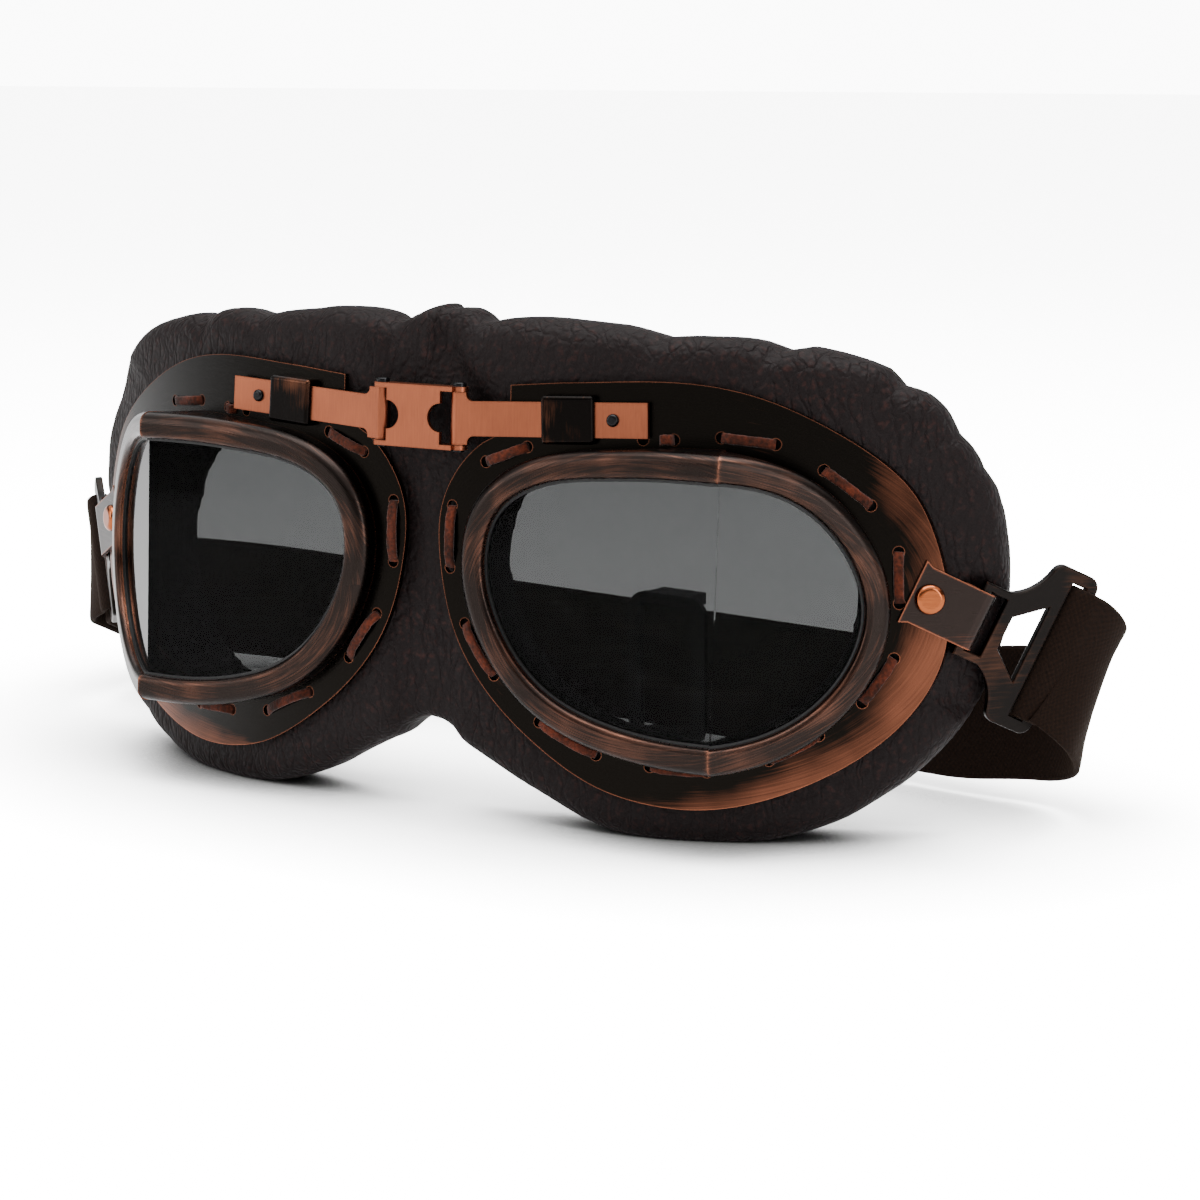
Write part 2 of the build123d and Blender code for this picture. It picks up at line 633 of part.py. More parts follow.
# Face cushion: padded ring behind the plate, its front bent like the plate, its back like a face.
pad_shares = ((0, -0.02), (0.1, 0), (0.25, -0.005), (0.45, -0.012), (0.66, -0.035), (0.82, -0.09),
              (0.92, -0.19), (0.98, -0.32), (1, -0.48), (0.98, -0.63), (0.92, -0.76), (0.81, -0.88),
              (0.67, -0.96), (0.49, -1), (0.3, -0.975), (0.15, -0.91), (0, -0.835))
with BuildPart() as right_face_pad:
    with BuildSketch(front.offset(overrun)):
        with BuildLine():
            outline = Spline(spread(pad_shares, pad_inner, pad_width, pad_top, pad_height))
            Line(outline @ 1, outline @ 0)
        make_face()
    extrude(amount=-overrun - 2 * housing_depth)
    with BuildSketch(level.offset(-2 * stand)):
        with Locations(plate_axis):
            Circle(plate_bow - plate_wall - pad_gap)
        with Locations((0, plate_set + plate_wall + pad_gap + pad_depth + pad_face_bow)):
            Circle(pad_face_bow, mode=Mode.SUBTRACT)
    extrude(amount=4 * stand, mode=Mode.INTERSECT)
    long_edges = right_face_pad.edges().filter_by(lambda edge: edge.length > pad_height)
    fillet(long_edges, radius=pad_crown)
    add(around_lens(pad_hollow, None, lip, 2 * housing_depth), mode=Mode.SUBTRACT)
    with BuildSketch(rivet_plane.offset(-plate_wall - rivet_flange - pad_gap)):
        Circle(rivet_flange_r + pad_gap)
    extrude(amount=overrun, mode=Mode.SUBTRACT)
    with BuildSketch(rivet_plane.offset(-2 * fold_r - tab_sheet - pad_gap)):
        with Locations((tab_outer - tab_hem - pad_gap, 0)):
            Rectangle(overrun, tab_width + 2 * pad_dent, align=(Align.MIN, Align.CENTER))
    extrude(amount=overrun, mode=Mode.SUBTRACT)
    with BuildSketch(turned(fold_plane, about_y=ring_turn + ring_back).offset(-ring_sheet / 2 - pad_gap)):
        with Locations((-pad_dent, 0)):
            Rectangle(overrun, ring_height + 2 * pad_dent, align=(Align.MIN, Align.CENTER))
    extrude(amount=overrun, mode=Mode.SUBTRACT)
    with BuildSketch(floor):
        Rectangle(4 * stand, 4 * stand)
    extrude(amount=-stand, mode=Mode.SUBTRACT)

# Padded bridge: joins the two cushions across the nose, arched below and peaked above.
with BuildPart() as nose_pad:
    with BuildSketch(front.offset(-nose_set)):
        with BuildLine():
            half_nose = pad_inner - pad_gap
            shoulder = nose_top - nose_peak
            top = ThreePointArc((-half_nose, shoulder), (0, nose_top), (half_nose, shoulder))
            arch = nose_bottom + nose_arch
            bottom = ThreePointArc((-half_nose, nose_bottom), (0, arch), (half_nose, nose_bottom))
            Line(top @ 0, bottom @ 0)
            Line(top @ 1, bottom @ 1)
        make_face()
    extrude(amount=nose_set - plate_set - plate_wall - pad_gap - pad_depth)
    fillet(nose_pad.edges().filter_by(GeomType.CIRCLE), radius=nose_crown)

halves = {
    "rim": right_rim, "lens_gasket": right_lens_gasket, "front_lens": right_front_lens,
    "side_lens": right_side_lens, "lens_retainer": right_lens_retainer,
    "frame_plate": right_frame_plate, "lacing": right_lacing,
    "hinge_pin": right_hinge_pin, "bridge_arm": right_bridge_arm, "stop_stud": right_stop_stud,
    "arm_keeper": right_arm_keeper, "strap_tab": right_strap_tab, "tab_rivet": right_tab_rivet,
    "strap_ring": right_strap_ring, "face_pad": right_face_pad,
}
for name, piece in halves.items():
    piece.part.label = "right_" + name
    export_step(piece.part, f"parts/right_{name}.step")
    twin = piece.part.mirror(Plane.YZ)
    twin.label = "left_" + name
    export_step(twin, f"parts/left_{name}.step")

bridge_link.part.label = "bridge_link"
export_step(bridge_link.part, "parts/bridge_link.step")
nose_pad.part.label = "nose_pad"
export_step(nose_pad.part, "parts/nose_pad.step")
head_strap.part.label = "head_strap"
export_step(head_strap.part, "parts/head_strap.step")
strap_slider.part.label = "strap_slider"
export_step(strap_slider.part, "parts/strap_slider.step")
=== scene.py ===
"""Looks of the aviator flying goggles: finishes for the metal and lenses, and the soft goods
(face cushions, suede lacing, elastic head strap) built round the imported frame. Metres, +Z up."""

import json
from math import asin, atan2, cos, pi, radians, sin, tan

import bmesh
import bpy
from mathutils import Matrix, Vector, noise


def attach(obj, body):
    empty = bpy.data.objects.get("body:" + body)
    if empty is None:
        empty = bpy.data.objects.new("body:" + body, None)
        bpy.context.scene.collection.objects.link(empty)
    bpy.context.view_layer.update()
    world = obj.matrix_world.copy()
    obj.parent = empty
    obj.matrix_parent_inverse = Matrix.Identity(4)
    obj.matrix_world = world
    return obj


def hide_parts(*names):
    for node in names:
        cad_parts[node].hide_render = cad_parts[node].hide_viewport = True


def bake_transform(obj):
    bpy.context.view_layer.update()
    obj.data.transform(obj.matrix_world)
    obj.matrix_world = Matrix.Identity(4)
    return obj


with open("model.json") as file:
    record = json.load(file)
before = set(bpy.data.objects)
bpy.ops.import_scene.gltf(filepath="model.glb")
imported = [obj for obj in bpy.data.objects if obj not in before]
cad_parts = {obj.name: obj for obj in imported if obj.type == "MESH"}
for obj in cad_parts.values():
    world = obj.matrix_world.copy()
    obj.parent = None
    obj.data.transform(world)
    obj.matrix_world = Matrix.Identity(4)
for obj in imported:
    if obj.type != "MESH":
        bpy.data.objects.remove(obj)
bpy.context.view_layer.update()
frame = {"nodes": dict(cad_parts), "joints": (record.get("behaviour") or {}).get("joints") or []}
nodes = frame["nodes"]
mm = 0.001

# Stance of the goggles, as in the part's source: they lean back by lean and stand on the cushions.
lean = radians(3.6)
stand = 77.5
reach = 46.85
face = Matrix(((1, 0, 0), (0, cos(lean), sin(lean)), (0, -sin(lean), cos(lean))))


def from_face(x, depth, height):
    """Point given in millimetres across, behind and above the bridge."""
    return face @ Vector((x, depth, height)) + Vector((0, -reach, stand))


# Camera, worked out from mirrored points of the two eyes.
turn, rise, roll = radians(28.51167), radians(8), radians(1.74047)
distance, aside, raised = 520, 35.066, -34.4346
film_width, focal_length = 36, 83.345
back = Vector((sin(turn) * cos(rise), -cos(turn) * cos(rise), sin(rise)))
right = Vector((cos(turn), sin(turn), 0))
upright = back.cross(right)
across_view = cos(roll) * right + sin(roll) * upright
up_view = -sin(roll) * right + cos(roll) * upright
eye_point = back * distance + across_view * aside + up_view * raised
camera = bpy.data.objects.new("camera", bpy.data.cameras.new("camera"))
bpy.context.scene.collection.objects.link(camera)
turned = Matrix([face @ axis for axis in (across_view, up_view, back)]).transposed()
camera.matrix_world = Matrix.Translation(from_face(*eye_point) * mm) @ turned.to_4x4()
camera.data.sensor_width = film_width
camera.data.lens = focal_length
camera.data.clip_start, camera.data.clip_end = 0.01, 50
bpy.context.scene.camera = camera


def add(tree, kind, inputs=None, **settings):
    """Adds one node with its settings; inputs gives each socket a value or another node's output."""
    made = tree.nodes.new(kind)
    for name, value in settings.items():
        setattr(made, name, value)
    for socket, value in (inputs or {}).items():
        if isinstance(value, bpy.types.NodeSocket):
            tree.links.new(value, made.inputs[socket])
        else:
            made.inputs[socket].default_value = value
    return made


def linear(code):
    """Linear colour of an sRGB hex value."""
    parts = [int(code[at:at + 2], 16) / 255 for at in (1, 3, 5)]
    return [part / 12.92 if part <= 0.04045 else ((part + 0.055) / 1.055) ** 2.4 for part in parts] + [1]


# Studio: white floor and room, soft overhead light, a dark band above for the metal to reflect.
def softbox(name, place, target, size, power):
    """Rectangular area light that looks at its target."""
    lamp = bpy.data.objects.new(name, bpy.data.lights.new(name, "AREA"))
    lamp.data.shape = "RECTANGLE"
    lamp.data.size, lamp.data.size_y = size
    lamp.data.energy = power
    lamp.location = place
    lamp.rotation_mode = "QUATERNION"
    lamp.rotation_quaternion = (Vector(target) - Vector(place)).to_track_quat("-Z", "Y")
    bpy.context.scene.collection.objects.link(lamp)


softbox("overhead", (0.05, -0.05, 0.85), (0, 0, 0.03), (0.9, 0.6), 16)
softbox("left_window", (-0.7, -0.75, 0.45), (0, 0, 0.04), (0.5, 0.6), 6)
softbox("right_strip", (0.85, -0.35, 0.35), (0.02, 0, 0.04), (0.25, 0.7), 5)

# The room's light by height, and how much brighter the camera alone sees the room and the floor.
room_tones = ((0, 0.95), (0.14, 0.95), (0.24, 0.12), (0.52, 0.12), (0.62, 1.0))
room_strength, room_gain, floor_gain = 2.4, 9, 5.5
# Painted contact shadow on the floor: its colour darkens within this reach of the goggles, by this power.
painted_shadow_reach, painted_shadow_depth = 0.06, 2.5

world = bpy.data.worlds.new("studio")
bpy.context.scene.world = world
world.use_nodes = True
sky = world.node_tree
sky.nodes.clear()
height = add(sky, "ShaderNodeSeparateXYZ", {0: add(sky, "ShaderNodeTexCoord").outputs["Generated"]})
fade = add(sky, "ShaderNodeValToRGB", {0: height.outputs["Z"]})
fade.color_ramp.elements.remove(fade.color_ramp.elements[1])
for number, (position, tone) in enumerate(room_tones):
    stop = fade.color_ramp.elements.new(position) if number else fade.color_ramp.elements[0]
    stop.color = (tone, tone, tone, 1)
seen = add(sky, "ShaderNodeLightPath").outputs["Is Camera Ray"]
glow = add(sky, "ShaderNodeMath", {0: seen, 1: room_gain, 2: room_strength}, operation="MULTIPLY_ADD")
light = add(sky, "ShaderNodeBackground", {"Color": fade.outputs["Color"], "Strength": glow.outputs[0]})
add(sky, "ShaderNodeOutputWorld", {"Surface": light.outputs[0]})


def material(name):
    """New material's node tree with its principled shader and the object's own coordinates."""
    made = bpy.data.materials.new(name)
    made.use_nodes = True
    tree = made.node_tree
    shader = tree.nodes["Principled BSDF"]
    return made, tree, shader, add(tree, "ShaderNodeTexCoord").outputs["Object"]


# Middle of the right lens and of its plate, and the scales that bring their outlines near one.
wheel_centre, wheel_scale = (0.05, 0, 0.0445), (28, 0, 40)
# Middle and scales for the painted reflection on the plate's lower outer border.
reflection_centre, reflection_scale = (0.044, 0, 0.0475), (21.6, 0, 25.5)


def from_centre(tree, place, centre, scale):
    """Scaled vector from the middle of the nearer eye, and its length."""
    flat = add(tree, "ShaderNodeVectorMath", {0: place}, operation="ABSOLUTE").outputs[0]
    shifted = add(tree, "ShaderNodeVectorMath", {0: flat, 1: centre}, operation="SUBTRACT").outputs[0]
    even = add(tree, "ShaderNodeVectorMath", {0: shifted, 1: scale}, operation="MULTIPLY").outputs[0]
    return even, add(tree, "ShaderNodeVectorMath", {0: even}, operation="LENGTH").outputs["Value"]


def round_the_eye(tree, place):
    """Coordinates of strokes brushed round a lens: worked on a wheel, some 0.3 mm apart."""
    even, radius = from_centre(tree, place, wheel_centre, wheel_scale)
    parts = add(tree, "ShaderNodeSeparateXYZ", {0: even})
    angle = add(tree, "ShaderNodeMath", {0: parts.outputs["Z"], 1: parts.outputs["X"]}, operation="ARCTAN2")
    fine = add(tree, "ShaderNodeMath", {0: radius, 1: 110}, operation="MULTIPLY")
    slow = add(tree, "ShaderNodeMath", {0: angle.outputs[0], 1: 3}, operation="MULTIPLY")
    return add(tree, "ShaderNodeCombineXYZ", {"X": fine.outputs[0], "Y": slow.outputs[0]}).outputs[0]


def along_the_bar(tree, place):
    """Coordinates of strokes brushed across a bar: upright lines, a third of a millimetre apart."""
    return add(tree, "ShaderNodeMapping", {"Vector": place, "Scale": (3000, 3000, 150)}).outputs[0]


def along_the_arm(tree, place):
    """Coordinates of strokes brushed along an arm: level lines, a third of a millimetre apart."""
    return add(tree, "ShaderNodeMapping", {"Vector": place, "Scale": (120, 120, 3000)}).outputs[0]


def worn_edges(tree, radius, rubbed):
    """Wear where the metal turns away within the radius: none in the flats, rubbed on the edges."""
    bent = add(tree, "ShaderNodeBevel", {"Radius": radius}, samples=6).outputs[0]
    straight = add(tree, "ShaderNodeNewGeometry").outputs["Normal"]
    same = add(tree, "ShaderNodeVectorMath", {0: bent, 1: straight}, operation="DOT_PRODUCT").outputs["Value"]
    return add(tree, "ShaderNodeMapRange", {"Value": same, "From Min": 0.985, "From Max": 0.8,
                                            "To Min": 0, "To Max": rubbed}).outputs[0]


# Wear by hands: a share anywhere. Painted reflection: lighter copper where the plate's outline is near and
# lower down, in metres.
even_wear, border_near, border_full, reflection_top, reflection_full = 0.2, 0.92, 1.12, 0.086, 0.05


def wear_and_painted_reflection(tree, place, low):
    """The even share of wear by hands, and low more as painted reflection, lighter copper, on the outer
    border of a plate below its top.
    """
    _, span = from_centre(tree, place, reflection_centre, reflection_scale)
    border = add(tree, "ShaderNodeMapRange", {"Value": span, "From Min": border_near,
                                              "From Max": border_full}).outputs[0]
    climb = add(tree, "ShaderNodeSeparateXYZ", {0: place}).outputs["Z"]
    below = add(tree, "ShaderNodeMapRange", {"Value": climb, "From Min": reflection_top, "From Max": reflection_full,
                                             "To Max": low}).outputs[0]
    return add(tree, "ShaderNodeMath", {0: border, 1: below, 2: even_wear},
               operation="MULTIPLY_ADD").outputs[0]


def antique_copper(name, bright, dark, cover, rubbed, roughness, strokes, edge=0.7, mottle=0.9, low=0.0):
    """Copper-plated steel, blackened and brushed back: patina in the flats, bare copper where rubbed.

    cover is the patina's share, mottle how far it clouds, rubbed the wear on edges, or below zero the
    patina left there, edge its reach in millimetres, and low the painted reflection: lighter copper on
    the plates' lower outer border.
    """
    made, tree, shader, place = material(name)
    lines = add(tree, "ShaderNodeTexNoise", {"Vector": strokes(tree, place), "Scale": 1, "Detail": 3,
                                             "Roughness": 0.6}).outputs[0]
    clouds = add(tree, "ShaderNodeTexNoise", {"Vector": place, "Scale": 75, "Detail": 2}).outputs[0]
    spread = add(tree, "ShaderNodeMath", {0: clouds, 1: mottle, 2: cover - mottle / 2},
                 operation="MULTIPLY_ADD").outputs[0]
    streaked = add(tree, "ShaderNodeMath", {0: lines, 1: 0.4, 2: spread},
                   operation="MULTIPLY_ADD").outputs[0]
    # Patina taken off for the even wear and for the painted reflection on the plate's lower outer border.
    level = add(tree, "ShaderNodeMath", {0: streaked, 1: wear_and_painted_reflection(tree, place, low)},
                operation="SUBTRACT").outputs[0]
    patina = add(tree, "ShaderNodeMath", {0: level, 1: worn_edges(tree, edge * mm, rubbed)},
                 operation="SUBTRACT", use_clamp=True).outputs[0]
    colour = add(tree, "ShaderNodeMix", {"Factor": patina, 6: linear(bright), 7: linear(dark)},
                 data_type="RGBA").outputs[2]
    gloss = add(tree, "ShaderNodeMath", {0: lines, 1: 0.18, 2: roughness - 0.09},
                operation="MULTIPLY_ADD").outputs[0]
    bump = add(tree, "ShaderNodeBump", {"Height": lines, "Strength": 0.25, "Distance": 0.05 * mm}).outputs[0]
    tree.links.new(colour, shader.inputs["Base Color"])
    tree.links.new(gloss, shader.inputs["Roughness"])
    tree.links.new(bump, shader.inputs["Normal"])
    shader.inputs["Metallic"].default_value = 1
    return made


def moulded(name, colour, roughness, grain):
    """Moulded rubber or plastic: even colour, fine spark-eroded grain given in millimetres."""
    made, tree, shader, place = material(name)
    pits = add(tree, "ShaderNodeTexNoise", {"Vector": place, "Scale": 1 / (grain * mm),
                                            "Detail": 2}).outputs[0]
    bump = add(tree, "ShaderNodeBump", {"Height": pits, "Strength": 0.3, "Distance": 0.04 * mm}).outputs[0]
    gloss = add(tree, "ShaderNodeMath", {0: pits, 1: 0.2, 2: roughness - 0.1},
                operation="MULTIPLY_ADD").outputs[0]
    tree.links.new(bump, shader.inputs["Normal"])
    tree.links.new(gloss, shader.inputs["Roughness"])
    shader.inputs["Base Color"].default_value = linear(colour)
    shader.inputs["Specular IOR Level"].default_value = 0.25
    return made


def smoked_polycarbonate():
    """Smoke-tinted polycarbonate sheet: clear and glossy, a grey that darkens what is behind.

    Its IOR is below the real 1.59: the pane mirrors less of the room, so the strap behind stays dark.
    """
    made, _, shader, _ = material("smoked_polycarbonate")
    shader.inputs["Roughness"].default_value = 0
    shader.inputs["Base Color"].default_value = linear("#3C3D3D")
    shader.inputs["Transmission Weight"].default_value = 1
    shader.inputs["IOR"].default_value = 1.1
    return made


def pebbled_leatherette():
    """Backed PVC leatherette, embossed: brown-black, 1.1 mm pebbles, drawn-out creases, rusty ridges."""
    made, tree, shader, place = material("pebbled_leatherette")
    warp = add(tree, "ShaderNodeTexNoise", {"Vector": place, "Scale": 160, "Detail": 3}).outputs[1]
    pull = add(tree, "ShaderNodeVectorMath", {0: warp, 1: (0.004, 0.004, 0.004), 2: place},
               operation="MULTIPLY_ADD").outputs[0]
    pebbles = add(tree, "ShaderNodeTexVoronoi", {"Vector": pull, "Scale": 1 / (1.1 * mm)},
                  feature="SMOOTH_F1").outputs["Distance"]
    slanted = add(tree, "ShaderNodeMapping", {"Vector": pull, "Rotation": (0.3, 0.9, 0.2),
                                              "Scale": (1, 1, 0.35)}).outputs[0]
    creases = add(tree, "ShaderNodeTexVoronoi", {"Vector": slanted, "Scale": 1 / (2.4 * mm)},
                  feature="DISTANCE_TO_EDGE").outputs["Distance"]
    valley = add(tree, "ShaderNodeMapRange", {"Value": creases, "From Max": 0.16}).outputs[0]
    patches = add(tree, "ShaderNodeTexNoise", {"Vector": place, "Scale": 45, "Detail": 2}).outputs[0]
    deep = add(tree, "ShaderNodeMath", {0: valley, 1: patches}, operation="MULTIPLY").outputs[0]
    rounded = add(tree, "ShaderNodeMath", {0: pebbles, 1: -0.8, 2: deep}, operation="MULTIPLY_ADD").outputs[0]
    bump = add(tree, "ShaderNodeBump", {"Height": rounded, "Strength": 0.7, "Distance": 0.45 * mm}).outputs[0]
    fine = add(tree, "ShaderNodeTexNoise", {"Vector": place, "Scale": 900, "Detail": 3}).outputs[0]
    ridge = add(tree, "ShaderNodeMapRange", {"Value": fine, "From Min": 0.5, "From Max": 0.75}).outputs[0]
    rusty = add(tree, "ShaderNodeMath", {0: ridge, 1: deep}, operation="MULTIPLY", use_clamp=True).outputs[0]
    colour = add(tree, "ShaderNodeMix", {"Factor": rusty, 6: linear("#0D0808"), 7: linear("#281512")},
                 data_type="RGBA").outputs[2]
    gloss = add(tree, "ShaderNodeMapRange", {"Value": rounded, "To Min": 0.62, "To Max": 0.46}).outputs[0]
    tree.links.new(colour, shader.inputs["Base Color"])
    tree.links.new(gloss, shader.inputs["Roughness"])
    tree.links.new(bump, shader.inputs["Normal"])
    shader.inputs["Specular IOR Level"].default_value = 0.07
    return made


def woven_elastic():
    """Woven rubber-core elastic, brushed: dark brown, 0.9 mm ribs crossed every 1.3 mm, a soft nap."""
    made, tree, shader, _ = material("woven_elastic")
    weave = add(tree, "ShaderNodeUVMap", uv_map="weave").outputs[0]
    parts = add(tree, "ShaderNodeSeparateXYZ", {0: weave})
    ribs = add(tree, "ShaderNodeMath", {0: parts.outputs["X"], 1: 2 * pi / (0.9 * mm)}, operation="MULTIPLY")
    wales = add(tree, "ShaderNodeMath", {0: parts.outputs["Y"], 1: 2 * pi / (1.3 * mm)}, operation="MULTIPLY")
    waves = [add(tree, "ShaderNodeMath", {0: thread.outputs[0]}, operation="SINE").outputs[0]
             for thread in (ribs, wales)]
    knots = add(tree, "ShaderNodeMath", {0: waves[0], 1: waves[1]}, operation="MULTIPLY").outputs[0]
    nap = add(tree, "ShaderNodeTexNoise", {"Vector": weave, "Scale": 1600, "Detail": 4}).outputs[0]
    high = add(tree, "ShaderNodeMath", {0: knots, 1: 0.25, 2: nap}, operation="MULTIPLY_ADD").outputs[0]
    bump = add(tree, "ShaderNodeBump", {"Height": high, "Strength": 0.35, "Distance": 0.25 * mm}).outputs[0]
    colour = add(tree, "ShaderNodeMix", {"Factor": high, 6: linear("#060302"), 7: linear("#150B06")},
                 data_type="RGBA").outputs[2]
    tree.links.new(colour, shader.inputs["Base Color"])
    tree.links.new(bump, shader.inputs["Normal"])
    shader.inputs["Roughness"].default_value = 0.9
    shader.inputs["Sheen Weight"].default_value = 0.06
    shader.inputs["Specular IOR Level"].default_value = 0.06
    shader.inputs["Sheen Roughness"].default_value = 0.5
    shader.inputs["Sheen Tint"].default_value = linear("#8A6A50")
    return made


def rust_suede():
    """Split suede thong: rust brown with darker patches, a fibrous nap of 0.7 mm, no gloss."""
    made, tree, shader, place = material("rust_suede")
    fibres = add(tree, "ShaderNodeTexNoise", {"Vector": place, "Scale": 1500, "Detail": 4}).outputs[0]
    worn = add(tree, "ShaderNodeTexNoise", {"Vector": place, "Scale": 260, "Detail": 2}).outputs[0]
    tone = add(tree, "ShaderNodeMath", {0: fibres, 1: worn}, operation="MULTIPLY").outputs[0]
    share = add(tree, "ShaderNodeMapRange", {"Value": tone, "From Min": 0.12, "From Max": 0.4}).outputs[0]
    colour = add(tree, "ShaderNodeMix", {"Factor": share, 6: linear("#180803"), 7: linear("#481C0D")},
                 data_type="RGBA").outputs[2]
    bump = add(tree, "ShaderNodeBump", {"Height": fibres, "Strength": 0.8, "Distance": 0.25 * mm}).outputs[0]
    tree.links.new(colour, shader.inputs["Base Color"])
    tree.links.new(bump, shader.inputs["Normal"])
    shader.inputs["Roughness"].default_value = 0.95
    shader.inputs["Sheen Weight"].default_value = 0.08
    shader.inputs["Specular IOR Level"].default_value = 0.1
    return made


rim_metal = antique_copper("brushed_antique_copper", "#9A624B", "#1E1917", 0.99, 0.75, 0.28, round_the_eye,
                           edge=1.5, mottle=0.45)
# The plate's low is painted reflection: lighter copper on its lower outer border, where it turns away.
plate_metal = antique_copper("blackened_copper", "#87513B", "#0E0C0A", 1.15, 0.75, 0.24, round_the_eye,
                             edge=0.35, mottle=0.6, low=0.48)
bar_metal = antique_copper("satin_copper", "#854B34", "#38211A", 0.25, -0.2, 0.33, along_the_bar,
                           mottle=0.5)
keeper_metal = antique_copper("rubbed_copper", "#8A563D", "#0D0B0A", 1.0, -1.0, 0.24, along_the_bar,
                              edge=1.5, mottle=1.6)
tab_metal = antique_copper("brushed_brown_copper", "#96583F", "#241E1C", 1.05, 0.85, 0.3, along_the_arm,
                           mottle=0.6)
ring_metal = antique_copper("bronzed_copper", "#64402F", "#151312", 1.02, 0.4, 0.32, along_the_arm,
                            mottle=0.9)
rivet_metal = antique_copper("polished_copper", "#8C4C2C", "#54291A", 0.2, -0.3, 0.18, along_the_arm,
                             mottle=0.3)
steel = moulded("black_oxide_steel", "#08080A", 0.2, 0.4)
steel.node_tree.nodes["Principled BSDF"].inputs["Metallic"].default_value = 0.6
rubber = moulded("black_gasket_rubber", "#050505", 0.5, 0.5)
nylon = moulded("black_nylon", "#121213", 0.42, 0.6)
smoke = smoked_polycarbonate()
leatherette = pebbled_leatherette()
elastic = woven_elastic()
suede = rust_suede()

finishes = {
    "rim": rim_metal, "frame_plate": plate_metal, "bridge_arm": bar_metal, "arm_keeper": keeper_metal,
    "strap_tab": tab_metal, "strap_ring": ring_metal, "tab_rivet": rivet_metal, "hinge_pin": steel,
    "stop_stud": steel, "lens_gasket": rubber, "lens_retainer": nylon, "front_lens": smoke,
    "side_lens": smoke,
}
coats = {f"{side}_{name}": finish for side in ("right", "left") for name, finish in finishes.items()}
coats.update(bridge_link=bar_metal, strap_slider=nylon)
for name, finish in coats.items():
    nodes[name].data.materials.clear()
    nodes[name].data.materials.append(finish)


def as_object(name, mesh, finish, smooth=True):
    """New object for a mesh in one finish, its origin at the world's."""
    mesh.materials.clear()
    mesh.materials.append(finish)
    mesh.polygons.foreach_set("use_smooth", [smooth] * len(mesh.polygons))
    made = bpy.data.objects.new(name, mesh)
    bpy.context.scene.collection.objects.link(made)
    return made


def applied(item):
    """The item's evaluated mesh as a plain mesh; the item itself is removed."""
    bpy.context.view_layer.update()
    mesh = bpy.data.meshes.new_from_object(item.evaluated_get(bpy.context.evaluated_depsgraph_get()))
    bpy.data.objects.remove(item)
    return mesh


# Cushions: the three foam parts under one leatherette cover, then cut where the hinges bend it.
voxel = 1.3 * mm
nose_half, nose_overlap = 7.1 * mm, 1.1
nose_seam, pull_seam, past_all = 10.0, 30.0, 400
eye_middle = from_face(50, 0, -31) * mm
plate_half = (47.5 * mm, 40.5 * mm)

# The cover is free to swell outside the plates, above the floor and away from the rings' dents.
free_from, free_run = 0.98, 0.16
floor_run = 6 * mm
dent_share, dent_run = 0.6, 20 * mm
ring_dent = [from_face(sign * 99, 38, -31) * mm for sign in (-1, 1)]

# Gathers and lumps follow noise round the eye; the gathers are shallower in the lower half.
gather_rate, gather_drift, gather_from, gather_seed = 2.6, 1.2, 0.78, 7.3
lump_rate, lump_depth, lump_seed = 1.9, 22 * mm, 3.1
crease_depth, low_crease_share = 1.5 * mm, 0.45
swell, swell_base = 0.9 * mm, 0.35 * mm


def cover_mesh():
    """One skin over the three foam parts; the nose part is widened to run into the other two."""
    bm = bmesh.new()
    for name in ("right_face_pad", "nose_pad", "left_face_pad"):
        bm.from_mesh(nodes[name].data)
    bmesh.ops.remove_doubles(bm, verts=bm.verts, dist=1e-6)
    for vert in bm.verts:
        if abs(vert.co.x) < nose_half:
            vert.co.x *= nose_overlap
    mesh = bpy.data.meshes.new("cover")
    bm.to_mesh(mesh)
    bm.free()
    item = as_object("cover", mesh, leatherette)
    wrap = item.modifiers.new("wrap", "REMESH")
    wrap.mode = "VOXEL"
    wrap.voxel_size = voxel
    ease = item.modifiers.new("ease", "SMOOTH")
    ease.factor = 0.5
    ease.iterations = 7
    return applied(item)


def crease(mesh):
    """Swells the cover outside the frame plates and draws in gathers that run in under them."""
    places = [vert.co.copy() for vert in mesh.vertices]
    normals = [vert.normal.copy() for vert in mesh.vertices]
    for vert, place, normal in zip(mesh.vertices, places, normals):
        x = (abs(place.x) - eye_middle.x) / plate_half[0]
        z = (place.z - eye_middle.z) / plate_half[1]
        out = (x * x + z * z) ** 0.5
        from_dent = (place - ring_dent[place.x > 0]).length
        free = min(max((out - free_from) / free_run, 0), 1)
        free *= min(max(place.z / floor_run, 0), 1)
        free *= min(max(from_dent / dent_run - dent_share, 0), 1)
        angle = atan2(z, x)
        side = 1 if place.x > 0 else -1
        gathers = 1 - abs(noise.noise(Vector((angle * gather_rate, out * gather_drift, side * gather_seed))))
        lumps = noise.noise(Vector((angle * lump_rate, place.y / lump_depth, side * lump_seed)))
        top = low_crease_share + (1 - low_crease_share) * min(max(z, 0), 1)
        drawn = crease_depth * top * max(gathers - gather_from, 0) / (1 - gather_from)
        vert.co = place + normal * ((swell * lumps - drawn + swell_base) * free)


def cut_between(mesh, name, low, high):
    """Closed piece of a mesh between two upright planes."""
    bm = bmesh.new()
    bm.from_mesh(mesh)
    for x, across in ((low, -1), (high, 1)):
        everything = bm.verts[:] + bm.edges[:] + bm.faces[:]
        bmesh.ops.bisect_plane(bm, geom=everything, plane_co=(x * mm, 0, 0), plane_no=(across, 0, 0),
                               clear_outer=True, dist=1e-7)
        rims = [edge for edge in bm.edges if edge.is_boundary]
        for edge in rims:
            edge.smooth = False
        bmesh.ops.holes_fill(bm, edges=rims)
    made = bpy.data.meshes.new(name)
    bm.to_mesh(made)
    bm.free()
    return as_object(name, made, leatherette)


